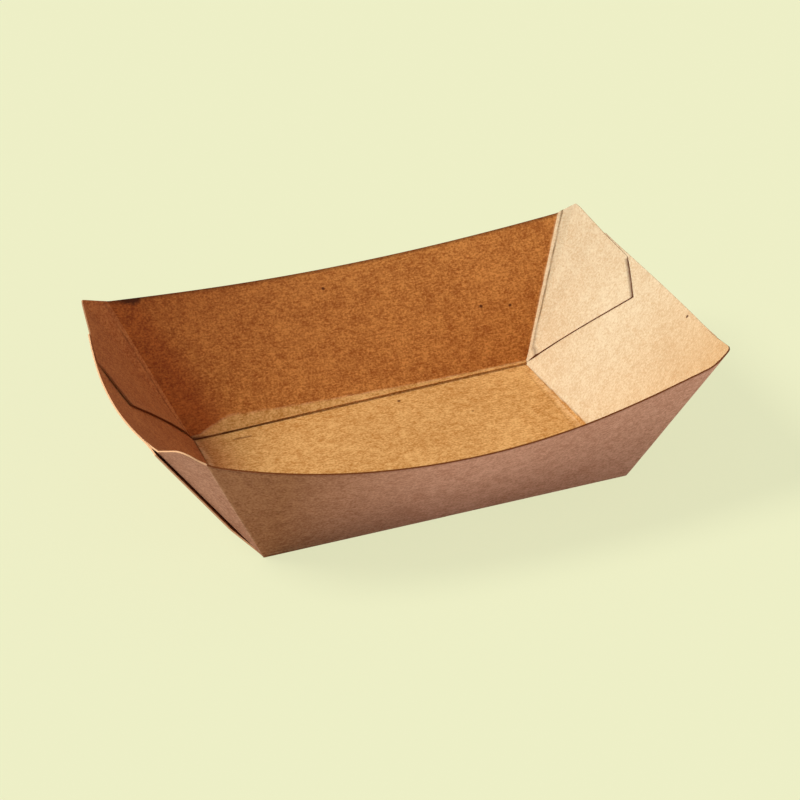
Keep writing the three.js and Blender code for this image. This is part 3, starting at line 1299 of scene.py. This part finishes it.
@dataclass
class FoldedTray:
    """The whole tray: one sheet, folded and glued."""

    sizes: SheetSizes = field(default_factory=SheetSizes)
    grid: StripGrid = field(default_factory=StripGrid)
    face: KraftFace = field(default_factory=KraftFace)
    edge: CutEdge = field(default_factory=CutEdge)
    far_left: UsedCorner = UsedCorner(
        fold_shift=(-1.5 * MM, 0.0, -0.5 * MM), tip_shift=(0.9 * MM, 0.0, -0.4 * MM),
        foot_shift=-3.8 * MM, flap_low_up=0.77, ridge_width=1.1 * MM, groove=0.85,
        rim_ink=0.6, flap_lift=0.4 * MM, fold_soft=1.2 * MM, ridge_up=4.8 * MM,
        lifted=0.15, flap_ridge=0.12 * MM, fold_worn=0.0,
        groove_reach=1.7 * MM)
    far_right: UsedCorner = UsedCorner(
        fold_shift=(0.3 * MM, 0.0, 0.0), tip_shift=(-0.3 * MM, 0.0, 0.0),
        flap_low_up=0.82, ridge_width=1.2 * MM, groove=0.15)
    near_left: UsedCorner = UsedCorner(
        fold_shift=(-1.1 * MM, -3.0 * MM, -0.6 * MM),
        tip_shift=(-1.0 * MM, -3.1 * MM, 0.6 * MM), flap_ink=0.0,
        flap_sunk=0.3 * MM, fold_soft=3.0 * MM, tip_soft=3.6 * MM, flap_ridge=0.1 * MM,
        fold_worn=0.45)
    near_right: UsedCorner = UsedCorner(
        fold_shift=(0.2 * MM, 1.5 * MM, -0.85 * MM),
        tip_shift=(0.5 * MM, 1.8 * MM, -0.95 * MM), flap_ink=0.0, rim_ink=1.0,
        flap_sunk=0.32 * MM, fold_soft=2.6 * MM, tip_soft=2.0 * MM, flap_ridge=0.1 * MM,
        fold_worn=0.0)

    def build(self) -> bpy.types.Object:
        """Folds the three strips and joins them into one piece.

        Returns:
            The finished tray, riding on the root body in place of its solid.
        """
        far = {"left": self.far_left, "right": self.far_right}
        # The near strip is turned half round, so its left end is the tray's right.
        near = {"left": self.near_right, "right": self.near_left}
        board, edge = self.face.build(), self.edge.build()
        strips = {"ends": (Strip.ENDS, far, 0.0), "far": (Strip.SIDE, far, 0.0),
                  "near": (Strip.SIDE, near, math.pi)}
        pieces = []
        for name, (strip, corners, turn) in strips.items():
            maker = SheetTree(self.sizes, strip, self.grid, corners, turn)
            pieces.append(plain_mesh(maker, board, edge, name))
        tray = self._joined(pieces)
        tray.data.shade_smooth()
        tray.data.set_sharp_from_angle(angle=math.radians(28))
        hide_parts("folded_tray")
        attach(tray, "root")
        return tray

    @staticmethod
    def _joined(pieces: list[bpy.types.Object]) -> bpy.types.Object:
        """Joins the strips into one object.

        Args:
            pieces: The strips.

        Returns:
            The joined object.
        """
        for piece in bpy.context.scene.objects:
            piece.select_set(piece in pieces)
        bpy.context.view_layer.objects.active = pieces[0]
        bpy.ops.object.join()
        tray = bpy.context.view_layer.objects.active
        tray.name = "folded_kraft_sheet"
        tray.data.name = tray.name
        return tray


# Stage


@dataclass
class PaleFloor:
    """Wide pale floor that shows an even colour and keeps the tray's shadow."""

    seen: tuple[float, ...] = linear(236, 238, 198)
    bounce: tuple[float, ...] = (0.8, 0.73, 0.7, 1.0)
    evenness: float = 0.84
    half: float = 3.0
    drop: float = 0.02 * MM

    def build(self) -> bpy.types.Object:
        """Builds the floor.

        Returns:
            The floor.
        """
        half, low = self.half, -self.drop
        mesh = bpy.data.meshes.new("pale_floor")
        mesh.from_pydata([(-half, -half, low), (half, -half, low), (half, half, low),
                          (-half, half, low)], [], [(0, 1, 2, 3)])
        floor = add_object("pale_floor", mesh)
        material, nodes = fresh_material("pale_floor")
        looked_at = Value(nodes, nodes.node("ShaderNodeLightPath").outputs["Is Camera Ray"])
        matt = nodes.node("ShaderNodeBsdfDiffuse", None,
                          Color=nodes.tint(looked_at, self.bounce, self.seen))
        even = nodes.node("ShaderNodeEmission", None, Color=self.seen, Strength=1.0)
        mixed = nodes.node("ShaderNodeMixShader", None, at_0=looked_at * self.evenness,
                           at_1=matt.outputs[0], at_2=even.outputs[0])
        nodes.node("ShaderNodeOutputMaterial", None, Surface=mixed.outputs[0])
        mesh.materials.append(material)
        return floor


@dataclass(frozen=True)
class Lamp:
    """A broad distant lamp.

    Attributes:
        name: Its name.
        side: Direction that the light comes from.
        strength: Its strength.
        spread: Its apparent width in degrees, which softens its shadows.
        colour: Its colour.
    """

    name: str
    side: tuple[float, float, float]
    strength: float
    spread: float
    colour: tuple[float, float, float]

    def build(self) -> None:
        """Adds the lamp to the scene."""
        data = bpy.data.lights.new(self.name, "SUN")
        data.energy = self.strength
        data.angle = math.radians(self.spread)
        data.color = self.colour
        lamp = add_object(self.name, data)
        lamp.rotation_euler = Vector(self.side).to_track_quat("Z", "Y").to_euler()


@dataclass
class SoftLight:
    """Even surrounding light, a broad lamp from the left and a weak one from the front."""

    surround: tuple[float, ...] = (1.0, 0.98, 0.96, 1.0)
    surround_strength: float = 0.36
    shown: tuple[float, ...] = linear(236, 238, 198)
    lamps: tuple[Lamp, ...] = (
        Lamp("key_left", (-0.66, 0.2, 0.72), 3.0, 24.0, (1.0, 0.97, 0.93)),
        Lamp("fill_front", (0.55, -0.8, 0.12), 0.7, 60.0, (1.0, 0.97, 0.96)))

    def build(self) -> None:
        """Builds the world and the lamps."""
        world = bpy.data.worlds.new("soft_room")
        world.use_nodes = True
        world.node_tree.nodes.clear()
        nodes = Nodes(world.node_tree)
        seen = nodes.node("ShaderNodeLightPath").outputs["Is Camera Ray"]
        lit = nodes.node("ShaderNodeBackground", None, Color=self.surround,
                         Strength=self.surround_strength)
        shown = nodes.node("ShaderNodeBackground", None, Color=self.shown, Strength=1.0)
        mixed = nodes.node("ShaderNodeMixShader", None, at_0=seen, at_1=lit.outputs[0],
                           at_2=shown.outputs[0])
        nodes.node("ShaderNodeOutputWorld", None, Surface=mixed.outputs[0])
        bpy.context.scene.world = world
        for lamp in self.lamps:
            lamp.build()


@dataclass
class PhotoCamera:
    """Camera at the photograph's viewing angle, with angles in degrees."""

    azimuth: float = -18.776
    elevation: float = 28.549
    roll: float = -2.737
    focal_pixels: float = 2606.2
    frame_pixels: int = 800
    distance: float = 770.35 * MM
    shift_right: float = 0.874 * MM
    shift_up: float = -16.28 * MM
    sensor: float = 36.0

    def build(self) -> bpy.types.Object:
        """Places the camera.

        Returns:
            The camera.
        """
        az, el, roll = (math.radians(v) for v in (self.azimuth, self.elevation, self.roll))
        back = Vector((math.sin(az) * math.cos(el), -math.cos(az) * math.cos(el), math.sin(el)))
        level = (-back).cross(Vector((0, 0, 1))).normalized()
        rise = level.cross(-back)
        right = level * math.cos(roll) + rise * math.sin(roll)
        up = rise * math.cos(roll) - level * math.sin(roll)
        place = back * self.distance - right * self.shift_right - up * self.shift_up
        data = bpy.data.cameras.new("photo_view")
        data.sensor_width = self.sensor
        data.lens = self.sensor * self.focal_pixels / self.frame_pixels
        data.clip_start = 0.01
        camera = add_object("photo_view", data)
        turn = Matrix((right, up, back)).transposed().to_4x4()
        camera.matrix_world = Matrix.Translation(place) @ turn
        bpy.context.scene.camera = camera
        return camera


def main() -> None:
    """Builds the scene.
    """
    tray = FoldedTray().build()
    LOG.info("%s: %d faces", tray.name, len(tray.data.polygons))
    floor = PaleFloor().build()
    LOG.info("%s: stage", floor.name)
    SoftLight().build()
    camera = PhotoCamera().build()
    LOG.info("%s: %.1f mm lens", camera.name, camera.data.lens)
    bpy.context.scene.view_settings.view_transform = "Standard"
    bpy.context.view_layer.update()


if __name__ == "__main__":
    logging.basicConfig(level=logging.INFO)
    main()
